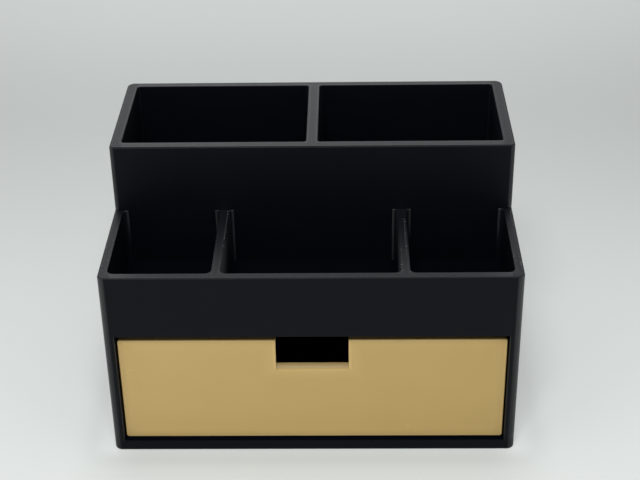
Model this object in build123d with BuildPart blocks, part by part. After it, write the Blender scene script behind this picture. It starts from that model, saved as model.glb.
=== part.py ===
from build123d import *
import os

# Two-tier desk organizer with a drawer, printed in plastic.
# Millimetres, +Z up. X runs across the width, the front faces -Y.
# The origin is the centre of the case's footprint, on the surface it stands on.

# ---- case, outside ----
case_width = 200.0
case_depth = 140.0
case_height = 137.5          # up to the rim of the rear wells
front_tier_height = 102.0    # up to the rim of the front trays
front_tier_depth = 64.3      # from the case's front face back to the wells' front wall
front_corner_radius = 3.6    # upright corners of the front tier
back_corner_radius = 3.9     # upright corners at the rear
well_corner_radius = 2.4     # upright front corners of the wells, above the trays
rim_edge_radius = 0.9        # outer edge along each rim
mouth_edge_radius = 0.35     # inner edge along each rim, round the wells and trays
base_edge_radius = 1.0       # outer edge round the underside

# ---- rear wells ----
well_side_wall = 5.6
well_front_wall = 5.5
well_back_wall = 4.8
well_divider = 5.8
well_floor = 5.0
well_inner_radius = 1.5

# ---- front trays ----
tray_side_wall = 4.4
tray_front_wall = 4.7
tray_divider = 4.4
middle_tray_width = 84.8
tray_floor = 3.3             # between the drawer bay and the trays
tray_inner_radius = 3.0
tray_back_overlap = 0.05     # the cuts for the trays run this far into the wells' wall

# ---- drawer bay, under the trays ----
bay_floor = 5.9
bay_side_wall = 5.45
bay_height = 62.8
bay_edge_radius = 0.4        # round the bay's opening

# ---- drawer, a box and the plate on its front ----
drawer_recess = 3.0          # front of the drawer, behind the front of the case
drawer_side_gap = 0.65       # each side
drawer_bottom_gap = 0.3
drawer_top_gap = 3.6
drawer_back_gap = 0.7
plate_thickness = 3.4
plate_edge_radius = 0.5      # front edges of the plate, all round
plate_corner_radius = 1.2    # its four corners, seen from the front
box_side_wall = 3.0
box_back_wall = 3.0
box_floor = 3.0
box_edge_radius = 1.4        # outer edges of the box
box_mouth_radius = 0.5       # inner edge along its rim
box_inner_radius = 2.0
notch_width = 35.4           # finger notch in the plate
notch_depth = 15.9
notch_lip_radius = 3.0       # front edge of the notch's bottom, where a finger pulls

# ---- places that follow ----
front_y = -case_depth / 2
back_y = case_depth / 2
well_front_y = front_y + front_tier_depth      # front face of the wells
well_inner_front_y = well_front_y + well_front_wall
well_inner_back_y = back_y - well_back_wall
well_length = well_inner_back_y - well_inner_front_y
well_width = (case_width - 2 * well_side_wall - well_divider) / 2
well_pitch = well_width + well_divider

bay_width = case_width - 2 * bay_side_wall
bay_top = bay_floor + bay_height
tray_bottom = bay_top + tray_floor
tray_front_y = front_y + tray_front_wall
tray_cut_back_y = well_front_y + tray_back_overlap
tray_cut_length = tray_cut_back_y - tray_front_y
side_tray_width = (case_width - middle_tray_width) / 2 - tray_side_wall - tray_divider
side_tray_x = middle_tray_width / 2 + tray_divider + side_tray_width / 2

drawer_width = bay_width - 2 * drawer_side_gap
drawer_bottom = bay_floor + drawer_bottom_gap
drawer_height = bay_height - drawer_bottom_gap - drawer_top_gap
drawer_top = drawer_bottom + drawer_height
notch_bottom = drawer_top - notch_depth
box_front_y = front_y + drawer_recess + plate_thickness
box_length = well_front_y - drawer_back_gap - box_front_y


# The case is one print: an upright block that holds the wells, and a lower block in
# front of it that holds the trays over the drawer bay.
with BuildPart() as case:
    # The lower block runs on into the upright one, as far as its rounded front corners.
    lower_block_depth = front_tier_depth + 2 * well_corner_radius
    with BuildSketch(Plane.XY):
        with Locations((0, front_y)):
            Rectangle(case_width, lower_block_depth, align=(Align.CENTER, Align.MIN))
    extrude(amount=front_tier_height)
    front_corners = case.edges().filter_by(Axis.Z).group_by(Axis.Y)[0]
    fillet(front_corners, radius=front_corner_radius)
    tray_rim = case.faces().sort_by(Axis.Z)[-1]
    hidden_edge = tray_rim.edges().sort_by(Axis.Y)[-1]
    fillet(tray_rim.edges() - ShapeList([hidden_edge]), radius=rim_edge_radius)

    # A wide tray between two narrow ones. The wells' front wall closes them at the back.
    with BuildSketch(Plane.XY.offset(tray_bottom)):
        with Locations((0, (tray_front_y + tray_cut_back_y) / 2)):
            RectangleRounded(middle_tray_width, tray_cut_length, tray_inner_radius)
            with GridLocations(2 * side_tray_x, 0, 2, 1):
                RectangleRounded(side_tray_width, tray_cut_length, tray_inner_radius)
    extrude(amount=front_tier_height - tray_bottom, mode=Mode.SUBTRACT)
    fillet(case.edges(Select.LAST).group_by(Axis.Z)[-1], radius=mouth_edge_radius)

    # The upright block, rounded at its corners.
    with BuildSketch(Plane.XY) as well_plan:
        with Locations((0, well_front_y)):
            Rectangle(case_width, case_depth - front_tier_depth, align=(Align.CENTER, Align.MIN))
        fillet(well_plan.vertices().group_by(Axis.Y)[0], radius=well_corner_radius)
        fillet(well_plan.vertices().group_by(Axis.Y)[-1], radius=back_corner_radius)
    extrude(amount=case_height)
    fillet(case.faces().sort_by(Axis.Z)[-1].edges(), radius=rim_edge_radius)
    fillet(case.faces().sort_by(Axis.Z)[0].edges(), radius=base_edge_radius)

    # Two wells, side by side, down to the base.
    with BuildSketch(Plane.XY.offset(well_floor)):
        with Locations((0, (well_inner_front_y + well_inner_back_y) / 2)):
            with GridLocations(well_pitch, 0, 2, 1):
                RectangleRounded(well_width, well_length, well_inner_radius)
    extrude(amount=case_height - well_floor, mode=Mode.SUBTRACT)
    fillet(case.edges(Select.LAST).group_by(Axis.Z)[-1], radius=mouth_edge_radius)

    # The drawer bay, open at the front.
    with BuildSketch(Plane.XY.offset(bay_floor)):
        with Locations((0, front_y)):
            Rectangle(bay_width, front_tier_depth, align=(Align.CENTER, Align.MIN))
    extrude(amount=bay_height, mode=Mode.SUBTRACT)
    fillet(case.edges(Select.LAST).group_by(Axis.Y)[0], radius=bay_edge_radius)

# The drawer's box is a floor, two sides and a back. The plate closes its front end.
with BuildPart() as drawer_box:
    with BuildSketch(Plane.XY.offset(drawer_bottom)):
        with Locations((0, box_front_y)):
            Rectangle(drawer_width, box_length, align=(Align.CENTER, Align.MIN))
    extrude(amount=drawer_height)
    front_end = drawer_box.faces().sort_by(Axis.Y)[0]
    fillet(drawer_box.edges() - front_end.edges(), radius=box_edge_radius)

    # The inside, open at the top and at the front end, with rounded corners at the back.
    inner_width = drawer_width - 2 * box_side_wall
    inner_length = box_length - box_back_wall
    with BuildSketch(Plane.XY.offset(drawer_bottom + box_floor)) as inside:
        with Locations((0, box_front_y)):
            Rectangle(inner_width, inner_length, align=(Align.CENTER, Align.MIN))
        fillet(inside.vertices().group_by(Axis.Y)[-1], radius=box_inner_radius)
    extrude(amount=drawer_height - box_floor, mode=Mode.SUBTRACT)
    front_end = drawer_box.faces().sort_by(Axis.Y)[0]
    box_mouth = drawer_box.edges(Select.LAST).group_by(Axis.Z)[-1] - front_end.edges()
    fillet(box_mouth, radius=box_mouth_radius)

# The plate on the drawer's front, with a notch for a finger in its upper edge.
with BuildPart() as drawer_front:
    with BuildSketch(Plane.XZ.offset(-box_front_y)) as outline:
        with Locations((0, drawer_bottom)):
            Rectangle(drawer_width, drawer_height, align=(Align.CENTER, Align.MIN))
        fillet(outline.vertices(), radius=plate_corner_radius)
        with Locations((0, notch_bottom)):
            notch_align = (Align.CENTER, Align.MIN)
            Rectangle(notch_width, notch_depth, align=notch_align, mode=Mode.SUBTRACT)
    extrude(amount=plate_thickness)

    # From below, the level edges of the front face are the plate's bottom, the bottom of
    # the notch and the top. The notch's bottom is rounded to a lip.
    front_rim = drawer_front.faces().sort_by(Axis.Y)[0].edges()
    notch_lip = front_rim.filter_by(Axis.X).group_by(Axis.Z)[1]
    fillet(notch_lip, radius=notch_lip_radius)

    # A small rounding starts at the bottom and runs on round the corners to the notch.
    front_rim = drawer_front.faces().sort_by(Axis.Y)[0].edges()
    fillet(front_rim.group_by(Axis.Z)[0], radius=plate_edge_radius)

os.makedirs("parts", exist_ok=True)
case.part.label = "case"
export_step(case.part, "parts/case.step")
drawer_box.part.label = "drawer_box"
export_step(drawer_box.part, "parts/drawer_box.step")
drawer_front.part.label = "drawer_front"
export_step(drawer_front.part, "parts/drawer_front.step")
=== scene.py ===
# %% [markdown] # A two-tier desk organizer, printed in plastic The object is a black
# case with two tall wells behind and three shallow trays in front, over a bay with a
# drawer. The drawer is a black box with a tan plate on its front. All of it is printed:
# flat walls, small roundings and nothing soft, so the packed CAD model already has the
# right shape. What is left for Blender is the surface. That is the layers and nozzle
# tracks of the print, the beads it leaves behind, two plastics, and a light that shows
# them. Its nodes stay exactly where they are.

import math
import random

import bmesh
import bpy
from mathutils import Matrix, Vector


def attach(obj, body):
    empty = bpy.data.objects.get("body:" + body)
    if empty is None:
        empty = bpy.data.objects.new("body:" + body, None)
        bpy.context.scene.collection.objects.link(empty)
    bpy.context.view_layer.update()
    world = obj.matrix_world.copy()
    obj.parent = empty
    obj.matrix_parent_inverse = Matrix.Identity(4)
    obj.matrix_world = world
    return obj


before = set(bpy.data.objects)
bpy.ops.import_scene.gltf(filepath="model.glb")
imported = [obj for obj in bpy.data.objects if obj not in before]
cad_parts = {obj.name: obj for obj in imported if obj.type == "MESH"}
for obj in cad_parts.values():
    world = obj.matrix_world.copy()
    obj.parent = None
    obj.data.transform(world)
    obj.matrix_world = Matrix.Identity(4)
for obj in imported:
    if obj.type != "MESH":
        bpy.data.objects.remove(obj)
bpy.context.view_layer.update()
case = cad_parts["case"]
drawer_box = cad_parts["drawer_box"]
drawer_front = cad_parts["drawer_front"]
MM = 0.001

# %% [markdown]
# ## The camera
#
# The picture was taken from the front and above, with a long lens. A lens can be guessed
# by eye, but straight edges of known size fix it better: these values come from fitting a
# pinhole camera to the edges of the case. A camera looks along its own -Z, so the turns
# are made in order: roll first, then the tilt up from straight down, then the turn about
# the upright.

# %% Place the camera
camera_place = Vector((18.1, -623.5, 456.3)) * MM
camera_pitch = math.radians(31.07)
camera_yaw = math.radians(1.37)
camera_roll = math.radians(1.01)
picture_width = 640
focal_length_in_pixels = 1415.0
sensor_width = 36.0


def make_camera():
    """The scene's camera, at the photograph's place and angle."""
    camera = bpy.data.objects.new("camera", bpy.data.cameras.new("camera"))
    bpy.context.scene.collection.objects.link(camera)
    camera.data.sensor_width = sensor_width
    camera.data.lens = focal_length_in_pixels / picture_width * sensor_width
    yaw = Matrix.Rotation(camera_yaw, 4, "Z")
    tilt = Matrix.Rotation(math.pi / 2 - camera_pitch, 4, "X")
    roll = Matrix.Rotation(-camera_roll, 4, "Z")
    camera.matrix_world = Matrix.Translation(camera_place) @ yaw @ tilt @ roll
    bpy.context.scene.camera = camera
    return camera


camera = make_camera()
print("lens in mm:", round(camera.data.lens, 2))

# %% [markdown]
# ## Shader maths as Python
#
# A printed surface is a pattern of sizes in millimetres: layers, tracks, distances from
# an edge. Building that from Math nodes by hand is hard to read, so one small class wraps
# a node's output and lets Python's operators add the nodes. Everything else comes from
# one method, `node`, which sets a node's settings first and its inputs after that.
#
# Most of the finishes are shares from 0 to 1, such as the share of a face that is a rim.
# Where a share begins and where it is full is given as a named pair, and `rise` makes a
# smooth step between the two. `blend` can take a pair too, for what the share gives.


# %% A socket that can be calculated with
class Socket:
    """A node's output. An expression on it adds its Math nodes."""

    def __init__(self, recipe, output):
        self.recipe = recipe
        self.output = output

    def math(self, operation, first, second=0.0):
        settings = {"operation": operation}
        return self.recipe.node("ShaderNodeMath", settings, {0: first, 1: second})

    def __add__(self, other):
        return self.math("ADD", self, other)

    def __radd__(self, other):
        return self.math("ADD", other, self)

    def __sub__(self, other):
        return self.math("SUBTRACT", self, other)

    def __rsub__(self, other):
        return self.math("SUBTRACT", other, self)

    def __mul__(self, other):
        return self.math("MULTIPLY", self, other)

    def __rmul__(self, other):
        return self.math("MULTIPLY", other, self)

    def __truediv__(self, other):
        return self.math("DIVIDE", self, other)

    def __rtruediv__(self, other):
        return self.math("DIVIDE", other, self)

    def __pow__(self, other):
        return self.math("POWER", self, other)

    def __rpow__(self, other):
        return self.math("POWER", other, self)

    def __abs__(self):
        return self.math("ABSOLUTE", self)


print("a socket now understands", "+ - * / ** abs")


# %% A recipe: the nodes of one finish
class Recipe:
    """The nodes of one finish, for a material or the world."""

    def __init__(self, owner):
        owner.use_nodes = True
        self.tree = owner.node_tree
        self.tree.nodes.clear()

    def node(self, kind, settings=(), inputs=(), output=0):
        """Adds a node: its settings, then the values or links of its inputs."""
        made = self.tree.nodes.new(kind)
        for name, value in dict(settings).items():
            setattr(made, name, value)
        for name, value in dict(inputs).items():
            if isinstance(value, Socket):
                self.tree.links.new(value.output, made.inputs[name])
            else:
                made.inputs[name].default_value = value
        return Socket(self, made.outputs[output]) if made.outputs else None

    def axes(self, vector):
        """A vector's x, y and z as three numbers."""
        return [self.node("ShaderNodeSeparateXYZ", {}, {0: vector}, axis) for axis in range(3)]

    def largest(self, first, *others):
        """The largest of a few numbers."""
        for other in others:
            first = self.node("ShaderNodeMath", {"operation": "MAXIMUM"}, {0: first, 1: other})
        return first

    def smallest(self, first, *others):
        """The smallest of a few numbers."""
        for other in others:
            first = self.node("ShaderNodeMath", {"operation": "MINIMUM"}, {0: first, 1: other})
        return first

    def rise(self, value, low, high):
        """0 below low, 1 above high, and a smooth step between them."""
        inputs = {"Value": value, "From Min": low, "From Max": high}
        return self.node("ShaderNodeMapRange", {"interpolation_type": "SMOOTHSTEP"}, inputs)

    def blend(self, share, first, second):
        """A number that goes from first to second as share goes from 0 to 1."""
        return share * (second - first) + first

    def tint(self, share, first, second):
        """A colour that goes from first to second as share goes from 0 to 1."""
        inputs = {0: share, 6: (*first, 1.0), 7: (*second, 1.0)}
        return self.node("ShaderNodeMix", {"data_type": "RGBA"}, inputs, 2)

    def fade(self, share, colour, goal):
        """A changing colour that goes to the colour goal as share goes from 0 to 1."""
        inputs = {0: share, 6: colour, 7: (*goal, 1.0)}
        return self.node("ShaderNodeMix", {"data_type": "RGBA"}, inputs, 2)

    def ridge(self, value, pitch):
        """Round ridges side by side, as tracks of plastic lie: 1 on a crest, 0 between."""
        part = self.node("ShaderNodeMath", {"operation": "FRACT"}, {0: value / pitch})
        return 1.0 - (part * 2.0 - 1.0) ** 2.0

    def stretch(self, vector, factors):
        """A vector with each part multiplied by its own factor."""
        inputs = {0: vector, 1: factors}
        return self.node("ShaderNodeVectorMath", {"operation": "MULTIPLY"}, inputs)

    def noise(self, vector, detail=2.0, roughness=0.5):
        """Soft random patches, one unit of the vector across, from 0 to 1."""
        inputs = {"Vector": vector, "Scale": 1.0, "Detail": detail, "Roughness": roughness}
        return self.node("ShaderNodeTexNoise", {}, inputs)

    def surface(self, inputs):
        """A Principled shader."""
        return self.node("ShaderNodeBsdfPrincipled", {}, inputs)

    def mix(self, share, first, second):
        """A shader that goes from first to second as share goes from 0 to 1."""
        return self.node("ShaderNodeMixShader", {}, {0: share, 1: first, 2: second})

    def seen(self):
        """1 for what the camera sees, straight or by reflection, and 0 for light's path."""
        straight = self.node("ShaderNodeLightPath", output="Is Camera Ray")
        mirrored = self.node("ShaderNodeLightPath", output="Is Glossy Ray")
        through = self.node("ShaderNodeLightPath", output="Is Transmission Ray")
        return self.largest(straight, mirrored, through)


black = (0.0, 0.0, 0.0)
matt_roughness = 0.9
no_sheen = 1.0                       # a surface that refracts as air does reflects nothing
fine_detail = 3.0                    # how often noise is broken into finer noise
print("recipe helpers:", [name for name in vars(Recipe) if not name.startswith("_")])

# %% [markdown]
# ## The table
#
# The case stands on a pale sheet that runs back into the background. Painted shade in its
# colour makes it a little darker behind the case and at the sides, and paler again far
# back. It could be bent up into a backdrop, but a flat sheet with gradients in its colour
# looks the same and has no wall that another view could run into.
#
# Around the case the gradients go on. The case keeps the light from behind off the strip
# right in front of it, and a painted shadow makes the sheet darker there. Close to the
# case's sides painted light makes it a touch paler, which offsets the case's own shadow.

# %% Shade the open sheet
behind_case = (-0.06, 0.34)          # from the front to the back, in metres
far_back = (0.28, 0.60)
sides_start_behind = (0.04, 0.22)
away_from_middle = (0.10, 0.42)      # to the left and to the right, in metres
middle_to_the_left = 0.03
# Painted shade: how much darker or paler the sheet is painted in each place.
behind_darker = 0.70
far_paler = 0.75
sides_darker = 0.28


def open_sheet_shade(recipe, x, y, behind):
    """The sheet by itself, with painted shade: 1 in front, less behind the case and at the sides.
    """
    far = recipe.rise(y, *far_back)
    sides = recipe.rise(abs(x + middle_to_the_left), *away_from_middle)
    sides = sides * recipe.rise(y, *sides_start_behind)
    return 1.0 - behind_darker * behind + far_paler * far - sides_darker * sides


print("darker by", behind_darker, "behind the case and by", sides_darker, "at the sides")

# %% Shade the sheet around the case
towards_front_wall = (-0.13, -0.06)
close_to_foot = (-0.088, -0.070)
past_front_corners = (0.085, 0.125)
foot_share = 0.5
# Painted shadow in front of the case, and painted light beside it.
painted_shadow_in_front = 0.66
behind_front_wall = (-0.080, -0.065)
past_back_wall = (0.07, 0.09)
past_side_wall = (0.098, 0.114)
painted_light_beside = 0.8


def near_case_shade(recipe, x, y, behind):
    """What the case adds: a painted shadow in front of it, painted light close to its sides."""
    in_front = recipe.rise(y, *towards_front_wall) + foot_share * recipe.rise(y, *close_to_foot)
    in_front = in_front * (1.0 - recipe.rise(abs(x), *past_front_corners))
    beside = recipe.rise(y, *behind_front_wall) * (1.0 - recipe.rise(y, *past_back_wall))
    beside = beside * (1.0 - recipe.rise(abs(x), *past_side_wall))
    return painted_light_beside * beside - painted_shadow_in_front * in_front * (1.0 - behind)


print("darker by up to", round(painted_shadow_in_front * (1 + foot_share), 2), "at the foot")

# %% [markdown]
# A third of what the camera sees of the sheet is its own paleness and the rest is light,
# so the case keeps a soft shadow without a grey table. The sheet is not part of the
# object, so it is staged.

# %% Lay the table
table_reach = 12.0
table_squares = 8
table_pale = (0.770, 0.800, 0.787)
table_dim = (0.539, 0.560, 0.551)
table_glow = 0.94
table_glow_share = 0.35
table_patches_per_metre = (2.0, 2.0, 2.0)
table_patch_strength = 0.06


def table_shade(recipe):
    """How pale the table is at a place, 1 for table_pale and 0 for table_dim."""
    place = recipe.node("ShaderNodeTexCoord", output="Object")
    x, y, z = recipe.axes(place)
    behind = recipe.rise(y, *behind_case)
    patches = recipe.noise(recipe.stretch(place, table_patches_per_metre))
    shade = open_sheet_shade(recipe, x, y, behind) + near_case_shade(recipe, x, y, behind)
    return shade + table_patch_strength * (patches - 0.5)


def table_finish():
    """A matt sheet that glows a little for whoever looks at it."""
    finish = bpy.data.materials.new("pale_table")
    recipe = Recipe(finish)
    colour = recipe.tint(table_shade(recipe), table_dim, table_pale)
    lit = recipe.surface({"Base Color": colour, "Roughness": matt_roughness, "IOR": no_sheen})
    bright = {"Emission Color": colour, "Emission Strength": table_glow}
    bright.update({"Base Color": (*black, 1.0), "IOR": no_sheen})
    glow = recipe.surface(bright)
    surface = recipe.mix(recipe.seen() * table_glow_share, lit, glow)
    recipe.node("ShaderNodeOutputMaterial", {}, {"Surface": surface})
    return finish


def make_table():
    """A flat pale sheet that the case stands on."""
    sheet = bmesh.new()
    bmesh.ops.create_grid(
        sheet, x_segments=table_squares, y_segments=table_squares, size=table_reach
    )
    mesh = bpy.data.meshes.new("table")
    sheet.to_mesh(mesh)
    sheet.free()
    mesh.materials.append(table_finish())
    table = bpy.data.objects.new("table", mesh)
    bpy.context.scene.collection.objects.link(table)
    return table


table = make_table()
print("table reaches", table_reach, "m each way")

# %% [markdown]
# ## The light
#
# The case stands in a light tent: pale walls all round, brightest behind, and a broad
# lamp high in front that lights the tan plate evenly down into its recess. A black satin
# surface shows what it reflects, so the pale walls matter as much as the lamp: they are
# what makes the rims and rounded corners read as grey lines.

# %% Hang the lamps
lamps = {
    "lamp_in_front": dict(place=(-0.04, -0.80, 1.32), width=0.6, height=0.32, radiance=23.4),
    "wall_on_the_left": dict(place=(-1.05, -0.45, 0.60), width=1.1, height=0.9, radiance=1.1),
    "wall_on_the_right": dict(place=(1.05, -0.45, 0.60), width=1.1, height=0.9, radiance=0.8),
}
aim = Vector((0.0, 0.0, 0.06))


def hang_lamp(name, place, width, height, radiance):
    """A rectangular lamp that faces the case. Its power follows from its radiance."""
    data = bpy.data.lights.new(name, "AREA")
    data.shape = "RECTANGLE"
    data.size = width
    data.size_y = height
    data.energy = radiance * math.pi * width * height
    lamp = bpy.data.objects.new(name, data)
    bpy.context.scene.collection.objects.link(lamp)
    lamp.location = place
    lamp.rotation_mode = "QUATERNION"
    lamp.rotation_quaternion = (aim - Vector(place)).to_track_quat("-Z", "Y")
    return lamp


for name, lamp in lamps.items():
    hang_lamp(name, **lamp)
print("lamps:", ", ".join(lamps))

# %% [markdown]
# The tent is the world's colour, which fades from back to front and a little from left
# to right. What the camera and reflections see of it is paler than the light it gives. A
# back wall that lit as brightly as it looks would cast too dark a shadow in front.

# %% Put up the tent
tent_colour = (0.98, 1.0, 1.0, 1.0)
tent_backward = (-0.8, 0.6)          # parts of a direction, -1 to the front and 1 to the back
tent_rightward = (-0.20, 0.15)       # -1 to the left and 1 to the right
tent_light = dict(front=0.25, back=0.48)
tent_seen = dict(front=0.50, back=1.0)
tent_sides = dict(left=1.11, right=0.92)


def put_up_tent():
    """The world: pale walls all round, brighter behind the case than in front of it."""
    world = bpy.data.worlds.new("tent")
    bpy.context.scene.world = world
    recipe = Recipe(world)
    direction = recipe.node("ShaderNodeTexCoord", output="Generated")
    x, y, z = recipe.axes(direction)
    backward = recipe.rise(y, *tent_backward)
    rightward = recipe.rise(x, *tent_rightward)
    light = recipe.blend(backward, tent_light["front"], tent_light["back"])
    view = recipe.blend(backward, tent_seen["front"], tent_seen["back"])
    view = view * recipe.blend(rightward, tent_sides["left"], tent_sides["right"])
    strength = recipe.blend(recipe.seen(), light, view)
    inputs = {"Color": tent_colour, "Strength": strength}
    walls = recipe.node("ShaderNodeBackground", {}, inputs)
    recipe.node("ShaderNodeOutputWorld", {}, {"Surface": walls})


put_up_tent()
bpy.context.scene.view_settings.view_transform = "Standard"
print("tent walls:", tent_seen)

# %% [markdown]
# ## What a print looks like up close
#
# A printer lays plastic in tracks about 0.45 mm wide, in layers 0.2 mm high. An upright
# wall shows the layers as fine ridges, and no two layers are quite alike. A level face
# shows tracks: three of them run along each edge and lie smooth and bright, and the
# space between is filled with tracks at 45 degrees, which look duller. All of this is
# smaller than the CAD model should carry, so it is height for a Bump node, in
# millimetres, worked out from the place on the piece. Where the piece moves, its pattern
# moves with it, because the place is read in the piece's own coordinates.

# %% Read the place on a piece, and the direction it faces
class Spot:
    """The place on a piece in millimetres, and the way its surface faces there."""

    def __init__(self, recipe):
        metres = recipe.node("ShaderNodeTexCoord", output="Object")
        self.place = recipe.stretch(metres, (1 / MM, 1 / MM, 1 / MM))
        self.x, self.y, self.z = recipe.axes(self.place)
        facing = recipe.node("ShaderNodeTexCoord", output="Normal")
        self.across, self.along, self.up = recipe.axes(facing)


print("one metre of a piece is", round(1 / MM), "of the finishes' units")

# %% Lay tracks and layers
layer_height = 0.2
layer_ridge_height = 0.012
wobble_along_wall = 0.02             # patches per millimetre along a layer
track_width = 0.45
tracks_along_edge = 3
edge_band = tracks_along_edge * track_width


def diagonal_tracks(recipe, first, second):
    """The fill of a flat face: tracks at 45 degrees."""
    return recipe.ridge((first + second) * math.sqrt(0.5), track_width)


def layer_wobble(recipe, spot):
    """A soft random value for each layer that changes slowly along the wall."""
    patches = (wobble_along_wall, wobble_along_wall, 1 / layer_height)
    return recipe.noise(recipe.stretch(spot.place, patches))


print("layers of", layer_height, "mm, tracks of", track_width, "mm")

# %% [markdown]
# ## The rims' tracks
#
# The smooth tracks follow the outline of each rim. To find them, the finish needs the
# distance from a place on the rim to its nearest edge. The case is the same on the left
# and on the right, so |x| does for both sides, and each outline is made of straight
# lines: the distance to it is the smallest or largest of a few differences.
#
# Where the case begins and ends is read from its mesh, so that the pattern follows the
# packed model. Its walls and dividers are given as the case has them, in millimetres.

# %% Read where a piece begins and ends
X, Y, Z = 0, 1, 2


def reach(piece, axis):
    """Where a piece begins and ends along an axis, in millimetres."""
    places = [vertex.co[axis] / MM for vertex in piece.data.vertices]
    return round(min(places), 2), round(max(places), 2)


case_front, case_back = reach(case, Y)
case_half_width = max(reach(case, X))
well_rim_height = max(reach(case, Z))
print("case from y", case_front, "to", case_back, "and up to z", well_rim_height)

# %% Place the wells and trays
tray_rim_height = 102.0
front_tier_depth = 64.3
well_side_wall = 5.6
well_front_wall = 5.5
well_back_wall = 4.8
well_divider = 5.8
tray_side_wall = 4.4
tray_front_wall = 4.7
tray_divider = 4.4
middle_tray_width = 84.8

well_block_front = case_front + front_tier_depth
well_opening = dict(
    inner=well_divider / 2,
    outer=case_half_width - well_side_wall,
    front=well_block_front + well_front_wall,
    back=case_back - well_back_wall,
)
tray_opening_front = case_front + tray_front_wall
middle_tray_edge = middle_tray_width / 2
side_tray_inner_edge = middle_tray_edge + tray_divider
side_tray_outer_edge = case_half_width - tray_side_wall
print("rims at", tray_rim_height, "and", well_rim_height, "mm")


# %% Measure how far a place is from the edge of a rim
def well_rim_edge(recipe, spot, side):
    """Distance to the nearest edge on the upper rim. side is |x|."""
    outline = recipe.smallest(
        case_half_width - side, spot.y - well_block_front, case_back - spot.y
    )
    opening = recipe.largest(
        well_opening["inner"] - side,
        side - well_opening["outer"],
        well_opening["front"] - spot.y,
        spot.y - well_opening["back"],
    )
    return recipe.smallest(outline, opening)


def case_outline_edge(recipe, spot, side):
    """Distance to the case's own sides and front. side is |x|."""
    return recipe.smallest(case_half_width - side, spot.y - case_front)


def tray_rim_edge(recipe, spot, side):
    """Distance to the nearest edge on the lower rim. side is |x|."""
    outline = case_outline_edge(recipe, spot, side)
    divider = recipe.smallest(side - middle_tray_edge, side_tray_inner_edge - side)
    opening = recipe.largest(
        divider, side - side_tray_outer_edge, tray_opening_front - spot.y
    )
    return recipe.smallest(outline, opening)


print("a side tray is", round(side_tray_outer_edge - side_tray_inner_edge, 2), "mm wide")

# %% Draw the tracks on the rims
at_well_rim = (well_rim_height - 2.0, well_rim_height - 1.0)
rim_band_end = (edge_band - 0.15, edge_band + 0.15)
edge_track_share = 0.7               # tracks along an edge are pressed flatter than the fill
track_ridge_height = 0.014


def rim_pattern(recipe, spot):
    """Two numbers on the rims: 1 on the smooth edge tracks, and the ridges' height."""
    side = abs(spot.x)
    upper = recipe.rise(spot.z, *at_well_rim)
    edge = recipe.blend(
        upper, tray_rim_edge(recipe, spot, side), well_rim_edge(recipe, spot, side)
    )
    smooth = 1.0 - recipe.rise(edge, *rim_band_end)
    tracks = recipe.ridge(edge, track_width)
    fill = diagonal_tracks(recipe, spot.x, spot.y)
    return smooth, recipe.blend(smooth, fill, tracks * edge_track_share)


print("smooth tracks reach", round(edge_band, 2), "mm in from a rim's edge")

# %% [markdown]
# ## Black plastic
#
# The black is a satin plastic, almost without colour of its own: what shows is the sheen.
# Seen steeply, as the walls are here, it hardly reflects and stays near black. Seen at a
# low angle, as the rims are, it turns grey. The flat walls are ridged by the layers and
# so are duller than the rims' smooth tracks and the rounded corners, where the nozzle
# turned. One gloss for the whole case would make the walls too grey or the rims too dark.
# A coat with a weight of its own sets them apart: none on the walls, and more where the
# plastic lies smooth.
#
# Tracks that run across the view shine more than tracks that run along it, so the front
# rims have more coat than the side rims. The corners lose some of it towards the foot.

# %% Give the rims their coat
fill_coat = 0.52
track_coat = 0.62
side_rim_coat = 0.72
upper_front_coat = 1.08
lower_front_coat = 1.36
side_rim_start = (side_tray_outer_edge - 1.8, side_tray_outer_edge - 1.0)
left_to_middle = (-60.0, 30.0)
glossier_left = 1.12


def rim_gloss(recipe, spot, smooth, lower):
    """The coat's weight on a rim. smooth is 1 on edge tracks, lower is 1 on the low tier."""
    side_rim = recipe.rise(abs(spot.x), *side_rim_start)
    front_rim = recipe.blend(lower, upper_front_coat, lower_front_coat)
    gloss = recipe.blend(smooth, fill_coat, track_coat)
    gloss = gloss * recipe.blend(side_rim, front_rim, side_rim_coat)
    return gloss * recipe.blend(recipe.rise(spot.x, *left_to_middle), glossier_left, 1.0)


print("coat on the front rims:", round(track_coat * lower_front_coat, 2))

# %% Give the rounded corners their coat
corner_coat = 0.54
rounded = (0.02, 0.25)               # how much a face is turned both sideways and forward
upper_corner_share = 0.88
foot_to_rim = (30.0, 95.0)
lower_corner_shares = (0.92, 1.30)


def corner_gloss(recipe, spot, lower):
    """The coat's weight on the upright corners, less towards the foot."""
    corner = recipe.rise(abs(spot.across * spot.along), *rounded)
    lower_corner = recipe.blend(recipe.rise(spot.z, *foot_to_rim), *lower_corner_shares)
    return corner * recipe.blend(lower, upper_corner_share, lower_corner) * corner_coat


print("coat on the upright corners:", corner_coat)

# %% Vary the coat as a print does
coat_patches = (0.85, 1.0)
coat_mottle = (0.8, 1.4)
mottle_per_mm = (0.9, 0.5, 0.9)
above_tray_rim = (tray_rim_height + 1.0, tray_rim_height + 2.0)


def coat_weight(recipe, spot, rim, smooth, patches):
    """The coat on rims and corners, with the small differences of a real print."""
    lower = 1.0 - recipe.rise(spot.z, *above_tray_rim)
    corner = corner_gloss(recipe, spot, lower)
    coat = recipe.largest(corner, rim * rim_gloss(recipe, spot, smooth, lower))
    mottle = recipe.noise(recipe.stretch(spot.place, mottle_per_mm), detail=fine_detail)
    return coat * recipe.blend(patches, *coat_patches) * recipe.blend(mottle, *coat_mottle)


print("the coat varies by", coat_mottle, "from spot to spot")

# %% [markdown]
# The rounded rear corners inside the trays show a pale upright line each. Seen from
# above, a smooth surface there would mirror the dark floor. But the layers are round
# ridges, and the upper side of a ridge also sends light from above to the eye. So these
# corners get a second plastic with high ridges, mixed in by a share that follows how far
# the corner has turned. It fades out down the narrow trays, which are darker, and only
# in part down the wide one.

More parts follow.
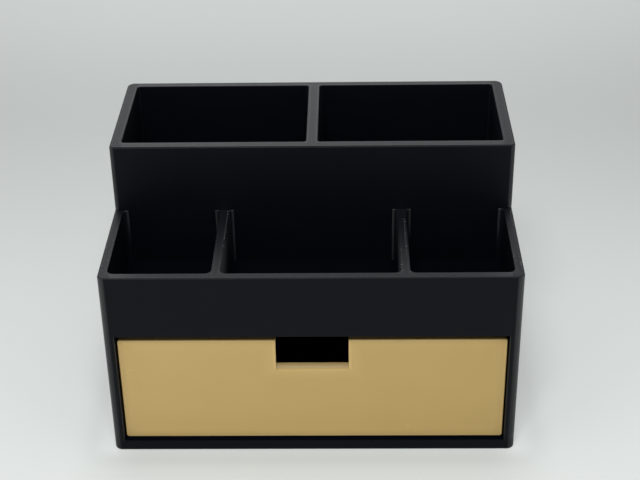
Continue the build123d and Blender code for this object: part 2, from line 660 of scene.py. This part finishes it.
# %% Find the trays' rear corners
inside_the_rim = (1.5, 4.0)
ahead_of_wells = (0.5, 1.5)
corner_turn_begins = (0.08, 0.20)
corner_turn_ends = (0.38, 0.60)
wide_tray_end = (middle_tray_edge + 0.4, middle_tray_edge + 1.2)
narrow_tray_fades = (3.0, 22.0)      # millimetres below the rim
wide_tray_fades = (8.0, 60.0)


def before_wells(recipe, spot):
    """1 in front of the wells, where the trays are."""
    return recipe.rise(well_opening["front"] - spot.y, *ahead_of_wells)


def by_wide_tray(recipe, spot):
    """1 in the wide tray in the middle, up to its walls."""
    return 1.0 - recipe.rise(abs(spot.x), *wide_tray_end)


def tray_corner(recipe, spot):
    """1 on the part of a tray's rounded corner that faces the front, less further down."""
    from_outline = case_outline_edge(recipe, spot, abs(spot.x))
    in_tray = recipe.rise(from_outline, *inside_the_rim) * before_wells(recipe, spot)
    turned = abs(spot.across)
    facing = recipe.rise(turned, *corner_turn_begins) - recipe.rise(turned, *corner_turn_ends)
    depth = tray_rim_height - spot.z
    narrow = 1.0 - recipe.rise(depth, *narrow_tray_fades)
    wide = 1.0 - recipe.rise(depth, *wide_tray_fades)
    return in_tray * facing * recipe.blend(by_wide_tray(recipe, spot), narrow, wide)


print("the corners fade from", narrow_tray_fades[0], "mm below the rim")

# %% Mix the layers' own sheen
corner_ridge_height = 0.050
corner_roughness = 0.4
corner_refraction = 1.6


def layer_sheen(recipe, spot, colour):
    """The layers as round ridges, which spread a reflection upwards and downwards."""
    ridges = recipe.ridge(spot.z, layer_height) * corner_ridge_height
    bump = recipe.node("ShaderNodeBump", {}, {"Height": ridges, "Distance": MM})
    inputs = {"Base Color": colour, "Roughness": corner_roughness, "IOR": corner_refraction}
    inputs["Normal"] = bump
    return recipe.surface(inputs)


print("ridges in the corners are", corner_ridge_height, "mm high")

# %% [markdown]
# The two walls beside the wide tray are seen along their length. Near the rim in front
# the real ridges catch enough light to look grey, and they sink into black towards the
# floor and the back. Here that is a painted sheen: the colour turns grey there.
#
# The floors show no sheen at all in the picture, and the foot less than the walls above
# it, perhaps because its first layers were squeezed against the printer's bed. So a dull
# plastic is mixed in on both: all of it on the floors, and a part near the foot.

# %% Find where the sheen is painted beside the wide tray
# A painted sheen: the grey colour given to the walls beside the wide tray near the rim.
painted_sheen_grey = (0.058, 0.061, 0.067)
wall_turned = (0.80, 0.95)
wall_fades_down = (0.0, 31.0)
wall_fades_back = (-52.0, -12.0)
wall_rear_share = 0.15


def painted_sheen_by_wide_tray(recipe, spot):
    """Painted sheen: 1 by the rim in front beside the wide tray, less below and behind."""
    facing = recipe.rise(abs(spot.across), *wall_turned)
    near_rim = 1.0 - recipe.rise(tray_rim_height - spot.z, *wall_fades_down)
    near_front = recipe.blend(recipe.rise(spot.y, *wall_fades_back), 1.0, wall_rear_share)
    wall = by_wide_tray(recipe, spot) * before_wells(recipe, spot) * facing
    return wall * near_rim * near_front


print("the walls fade over", wall_fades_down[1], "mm")

# %% Mix the dull plastic
foot_end = (5.0, 7.0)
foot_dullness = 0.28


def dull_share(recipe, spot, floor):
    """1 on a floor, and a part of that near the foot."""
    foot = (1.0 - recipe.rise(spot.z, *foot_end)) * foot_dullness
    return recipe.largest(floor, foot)


def dull_plastic(recipe, colour):
    """The same black without any sheen, as on the floors and near the foot."""
    inputs = {"Base Color": colour, "Roughness": matt_roughness, "IOR": no_sheen}
    return recipe.surface(inputs)


print("the foot is dull up to", foot_end[1], "mm")

# %% [markdown]
# Colour, roughness and height vary a little from layer to layer and from track to track.
# One edge is much rougher than the rest, that of the sill under the drawer. It shows
# almost no light, though it looks up as the rims do.

# %% Colour the black
black_deep = (0.0012, 0.0017, 0.0032)
black_light = (0.0028, 0.0034, 0.0054)
patch_shades = (0.1, 0.5)
layer_shades = (-0.2, 0.6)


def black_colour(recipe, spot, patches, wobble):
    """Near black, a little different from layer to layer, painted sheen by the wide tray."""
    shade = recipe.blend(patches, *patch_shades) + recipe.blend(wobble, *layer_shades)
    colour = recipe.tint(shade, black_deep, black_light)
    # The painted sheen by the wide tray.
    return recipe.fade(painted_sheen_by_wide_tray(recipe, spot), colour, painted_sheen_grey)


print("black from", black_deep, "to", black_light)

# %% Roughen the black
layer_roughness = (0.40, 0.50)
fill_rougher = 0.05
sill_turn = (0.15, 0.45)
above_sill = (6.5, 8.0)
sill_rougher = 0.45


def black_roughness(recipe, spot, rim, smooth, wobble):
    """Rough from layer to layer, more on the fill of the rims and on the sill's edge."""
    roughness = recipe.blend(wobble, *layer_roughness) + (1.0 - smooth) * rim * fill_rougher
    sill_edge = recipe.rise(spot.up, *sill_turn) * (1.0 - recipe.rise(spot.z, *above_sill))
    return roughness + sill_edge * sill_rougher


print("roughness from", layer_roughness[0], "to", layer_roughness[1])

# %% Raise the layers and tracks
layer_wobble_height = 0.010


def black_bump(recipe, spot, level, wobble, tracks):
    """Tracks on level faces and layers on all others, as a bump."""
    layers = recipe.ridge(spot.z, layer_height) * layer_ridge_height
    wall_height = layers + wobble * layer_wobble_height
    height = recipe.blend(level, wall_height, tracks * track_ridge_height)
    return recipe.node("ShaderNodeBump", {}, {"Height": height, "Distance": MM})


print("layers are", layer_ridge_height, "mm high, tracks", track_ridge_height, "mm")

# %% Mix the black plastic
black_refraction = 1.208
coat_refraction = 1.5
coat_roughness = 0.38
level_face = (0.965, 0.995)
rim_slack = 1.0
patches_per_mm = (0.05, 0.05, 0.08)


def black_plastic(name, lowest_rim):
    """The black print. Level faces above lowest_rim are rims, those below are floors."""
    finish = bpy.data.materials.new(name)
    recipe = Recipe(finish)
    spot = Spot(recipe)
    wobble = layer_wobble(recipe, spot)
    patches = recipe.noise(recipe.stretch(spot.place, patches_per_mm))
    level = recipe.rise(spot.up, *level_face)
    rim = level * recipe.rise(spot.z, lowest_rim - rim_slack, lowest_rim - rim_slack / 2)
    smooth, tracks = rim_pattern(recipe, spot)
    colour = black_colour(recipe, spot, patches, wobble)
    satin = recipe.surface({
        "Base Color": colour,
        "Roughness": black_roughness(recipe, spot, rim, smooth, wobble),
        "IOR": black_refraction,
        "Coat Weight": coat_weight(recipe, spot, rim, smooth, patches),
        "Coat Roughness": coat_roughness,
        "Coat IOR": coat_refraction,
        "Normal": black_bump(recipe, spot, level, wobble, tracks),
    })
    sheen = layer_sheen(recipe, spot, colour)
    satin = recipe.mix(tray_corner(recipe, spot), satin, sheen)
    dull = dull_share(recipe, spot, level - rim)
    surface = recipe.mix(dull, satin, dull_plastic(recipe, colour))
    recipe.node("ShaderNodeOutputMaterial", {}, {"Surface": surface})
    return finish


def give_finish(piece, finish):
    """Puts one finish on a whole piece."""
    piece.data.materials.clear()
    piece.data.materials.append(finish)


drawer_rim_height = max(reach(drawer_box, Z))
black_of_case = black_plastic("black_plastic", tray_rim_height)
give_finish(case, black_of_case)
give_finish(drawer_box, black_plastic("black_plastic_of_drawer", drawer_rim_height))
print("nodes in the black finish:", len(black_of_case.node_tree.nodes))

# %% [markdown]
# ## Tan plastic
#
# The plate was printed lying on its face. Its front is the first layer: three tracks
# follow the outline and the notch, pressed flat and painted a little lighter as a highlight
# on the edges, and the rest is filled at 45 degrees. Its narrow sides show the layers,
# which here lie parallel to the front. A few short pale scuffs near the left end and the
# lower edge look like wear. They are small enough to be places in the finish, each a soft
# ellipse.

# %% Measure how far a place is from the edge of the plate
plate_half_width = max(reach(drawer_front, X))
plate_bottom, plate_top = reach(drawer_front, Z)
notch_width = 35.4
notch_depth = 15.9
notch_half_width = notch_width / 2
notch_bottom = plate_top - notch_depth


def plate_edge(recipe, spot):
    """Distance to the plate's outline or notch, seen from the front."""
    side = abs(spot.x)
    outline = recipe.smallest(
        plate_half_width - side, spot.z - plate_bottom, plate_top - spot.z
    )
    notch = recipe.largest(side - notch_half_width, notch_bottom - spot.z)
    return recipe.smallest(outline, notch)


print("plate", 2 * plate_half_width, "mm wide and", round(plate_top - plate_bottom, 1), "mm high")

# %% Scuff the plate
scuffs = [
    dict(x=-89.6, z=47.4, length=1.6),
    dict(x=-90.2, z=45.6, length=1.2),
    dict(x=-87.6, z=47.4, length=1.0),
    dict(x=-92.2, z=34.0, length=1.0),
    dict(x=47.0, z=12.9, length=1.6),
]
scuff_half_height = 0.35
scuff_fades = (0.2, 1.0)


def scuff_marks(recipe, spot):
    """1 in the middle of a scuff, fading to 0 at its edge."""
    marks = []
    for scuff in scuffs:
        across = (spot.x - scuff["x"]) / scuff["length"]
        upward = (spot.z - scuff["z"]) / scuff_half_height
        marks.append(1.0 - recipe.rise(across ** 2.0 + upward ** 2.0, *scuff_fades))
    return recipe.largest(*marks)


print("scuffs:", len(scuffs))

# %% [markdown]
# The tan is a matt colour with hardly a pattern in it. Painted light makes it a little
# lighter to the left, and in a soft border along the outline, which offsets the shade of
# the recess. The lip of the notch looks up and is clearly darker, because the case hangs
# over it. Lamps that are high enough to shade the case's other faces well make the lip too
# bright, so the colour of faces that look up fades a good part of the way to black, a
# painted shade.

# %% Colour the tan
tan_deep = (0.452, 0.310, 0.108)
tan_light = (0.575, 0.402, 0.158)
tan_patch_shades = (0.20, 0.40)
tan_grain_shades = (-0.08, 0.08)
# Painted light: lighter to the left, on the edge tracks and in a border; painted shade on faces
# that look up.
painted_light_to_left = 0.20
painted_edge_highlight = 0.45
border_end = (0.5, 9.0)
painted_border_light = 0.28
scuffs_lighter = 0.5
looks_up = (0.2, 0.75)
ledge_shade = 0.44
tan_patches_per_mm = (0.04, 0.04, 0.06)


def tan_colour(recipe, spot, edge, smooth, grain, scuff):
    """Tan with scuffs; painted light left, on the border and edges; painted shade on the lip."""
    patches = recipe.noise(recipe.stretch(spot.place, tan_patches_per_mm))
    shade = recipe.blend(patches, *tan_patch_shades) + recipe.blend(grain, *tan_grain_shades)
    # Painted light to the left here, then on the border and edge tracks below; the scuffs are
    # wear.
    shade = shade - spot.x / plate_half_width * painted_light_to_left
    border = 1.0 - recipe.rise(edge, *border_end)
    shade = shade + smooth * painted_edge_highlight + border * painted_border_light + scuff * scuffs_lighter
    colour = recipe.tint(shade, tan_deep, tan_light)
    return recipe.fade(recipe.rise(spot.up, *looks_up) * ledge_shade, colour, black)


print("tan from", tan_deep, "to", tan_light)

# %% Raise the plate's tracks and layers
face_track_height = 0.006
grain_height = 0.006


def tan_bump(recipe, spot, front, edge, smooth, grain):
    """Tracks on the front and layers on the narrow sides, as a bump."""
    fill = diagonal_tracks(recipe, spot.x, spot.z)
    tracks = recipe.ridge(edge, track_width)
    face_height = recipe.blend(smooth, fill, tracks) * face_track_height + grain * grain_height
    layers = recipe.ridge(spot.y, layer_height) * layer_ridge_height
    height = recipe.blend(front, layers, face_height)
    return recipe.node("ShaderNodeBump", {}, {"Height": height, "Distance": MM})


print("the front's tracks are", face_track_height, "mm high")

# %% Mix the tan plastic
tan_refraction = 1.42
tan_roughness = (0.48, 0.62)
tracks_smoother = 0.06
faces_front = (0.90, 0.99)
plate_band_end = (edge_band - 0.3, edge_band + 0.1)
grain_per_mm = (1.2, 1.2, 1.2)


def tan_plastic(name):
    """The tan print, laid on its face."""
    finish = bpy.data.materials.new(name)
    recipe = Recipe(finish)
    spot = Spot(recipe)
    front = recipe.rise(abs(spot.along), *faces_front)
    edge = plate_edge(recipe, spot)
    smooth = 1.0 - recipe.rise(edge, *plate_band_end)
    grain = recipe.noise(recipe.stretch(spot.place, grain_per_mm), detail=fine_detail)
    scuff = scuff_marks(recipe, spot) * front
    surface = recipe.surface({
        "Base Color": tan_colour(recipe, spot, edge, smooth, grain, scuff),
        "Roughness": recipe.blend(grain, *tan_roughness) - smooth * tracks_smoother,
        "IOR": tan_refraction,
        "Normal": tan_bump(recipe, spot, front, edge, smooth, grain),
    })
    recipe.node("ShaderNodeOutputMaterial", {}, {"Surface": surface})
    return finish


tan_of_plate = tan_plastic("tan_plastic")
give_finish(drawer_front, tan_of_plate)
print("nodes in the tan finish:", len(tan_of_plate.node_tree.nodes))

# %% [markdown]
# ## Beads
#
# Where the nozzle starts or ends a track it often leaves a bead of plastic. On the two
# tray dividers the beads stand in a row, one every 2.57 mm, where the fill begins beside
# the edge tracks. On the outer rims they are scattered. They catch the light, so they
# are real geometry: domes nearly a millimetre wide and a third of one high, each a
# little different, all in one mesh that rides on the case. Each dome is closed by a flat
# face below, which lies just under the rim's surface.

# %% A low dome
bead_sides = 10
bead_rings = 3
bead_sink = 0.03


def add_bead(mesh, x, y, z, radius, height):
    """Adds one closed dome at a place on a rim. Sizes in millimetres."""
    rings = []
    for ring in range(bead_rings):
        angle = ring / bead_rings * math.pi / 2
        reach = radius * math.cos(angle)
        lift = height * math.sin(angle) - bead_sink
        circle = []
        for side in range(bead_sides):
            turn = 2 * math.pi * side / bead_sides
            corner = Vector((x + reach * math.cos(turn), y + reach * math.sin(turn), z + lift))
            circle.append(mesh.verts.new(corner * MM))
        rings.append(circle)
    top = mesh.verts.new(Vector((x, y, z + height - bead_sink)) * MM)
    for lower, upper in zip(rings, rings[1:]):
        for side in range(bead_sides):
            after = (side + 1) % bead_sides
            mesh.faces.new((lower[side], lower[after], upper[after], upper[side]))
    for side in range(bead_sides):
        mesh.faces.new((rings[-1][side], rings[-1][(side + 1) % bead_sides], top))
    mesh.faces.new(list(reversed(rings[0])))


print("a bead has", bead_sides * bead_rings + 1, "corners")

# %% Where the beads are
bead_pitch = 2.57
bead_rows = {
    "left_divider": dict(x=-42.55, front=-33.3, back=-7.6),
    "right_divider": dict(x=45.5, front=-49.5, back=-15.0),
}
loose_beads = {
    "left_divider": [
        dict(x=-42.7, y=-40.9),
        dict(x=-42.7, y=-55.4),
    ],
    "right_divider": [
        dict(x=42.95, y=-58.4),
        dict(x=43.0, y=-63.8),
        dict(x=46.6, y=-64.3),
        dict(x=43.1, y=-45.1),
    ],
    "left_rim": [
        dict(x=-98.5, y=-32.4),
        dict(x=-98.8, y=-26.9),
        dict(x=-98.6, y=-41.4),
        dict(x=-98.9, y=-43.1),
        dict(x=-98.6, y=-58.8),
        dict(x=-97.6, y=-62.7),
        dict(x=-96.3, y=-53.7),
        dict(x=-96.2, y=-35.4),
    ],
    "right_rim": [
        dict(x=96.2, y=-49.4),
        dict(x=96.3, y=-51.7),
        dict(x=98.8, y=-57.5),
        dict(x=98.7, y=-60.0),
        dict(x=96.3, y=-56.0),
        dict(x=98.7, y=-22.5),
        dict(x=98.8, y=-52.3),
        dict(x=98.7, y=-9.6),
        dict(x=98.8, y=-62.8),
    ],
}
print("loose beads:", sum(len(group) for group in loose_beads.values()))

# %% Set the beads out
bead_radius = 0.46
bead_height = 0.34
bead_sizes = (0.88, 1.12)
drift_along = 0.12
drift_across = 0.1
bead_seed = 7


def place_beads(chance):
    """The loose beads, then the rows, each bead of a row a little off its place."""
    places = [(bead["x"], bead["y"]) for group in loose_beads.values() for bead in group]
    for row in bead_rows.values():
        steps = round((row["back"] - row["front"]) / bead_pitch)
        for step in range(steps + 1):
            y = row["front"] + step * bead_pitch + chance.uniform(-drift_along, drift_along)
            places.append((row["x"] + chance.uniform(-drift_across, drift_across), y))
    return places


def bead_mesh():
    """All the beads on the lower rim, as one mesh, and how many they are."""
    chance = random.Random(bead_seed)
    places = place_beads(chance)
    mesh = bmesh.new()
    for x, y in places:
        size = chance.uniform(*bead_sizes)
        add_bead(mesh, x, y, tray_rim_height, bead_radius * size, bead_height * size)
    data = bpy.data.meshes.new("rim_beads")
    mesh.to_mesh(data)
    mesh.free()
    for face in data.polygons:
        face.use_smooth = True
    return data, len(places)


mesh_of_beads, bead_count = bead_mesh()
print("beads on the rims:", bead_count)

# %% Finish the beads
bead_roughness = (0.25, 0.40)
bead_coat_roughness = 0.25
full_coat = 1.0
speckles_per_mm = (3.0, 3.0, 3.0)


def bead_finish():
    """The same black plastic, glossier where it melted into a bead."""
    finish = bpy.data.materials.new("bead_plastic")
    recipe = Recipe(finish)
    spot = Spot(recipe)
    speckle = recipe.noise(recipe.stretch(spot.place, speckles_per_mm))
    surface = recipe.surface({
        "Base Color": recipe.tint(speckle, black_deep, black_light),
        "Roughness": recipe.blend(speckle, *bead_roughness),
        "IOR": coat_refraction,
        "Coat Weight": full_coat,
        "Coat Roughness": bead_coat_roughness,
        "Coat IOR": coat_refraction,
    })
    recipe.node("ShaderNodeOutputMaterial", {}, {"Surface": surface})
    return finish


beads = bpy.data.objects.new("rim_beads", mesh_of_beads)
bpy.context.scene.collection.objects.link(beads)
give_finish(beads, bead_finish())
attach(beads, "case")
print("the beads ride on the case")

# %% [markdown]
# ## The end
#
# Nothing here may make the object larger than the CAD model.
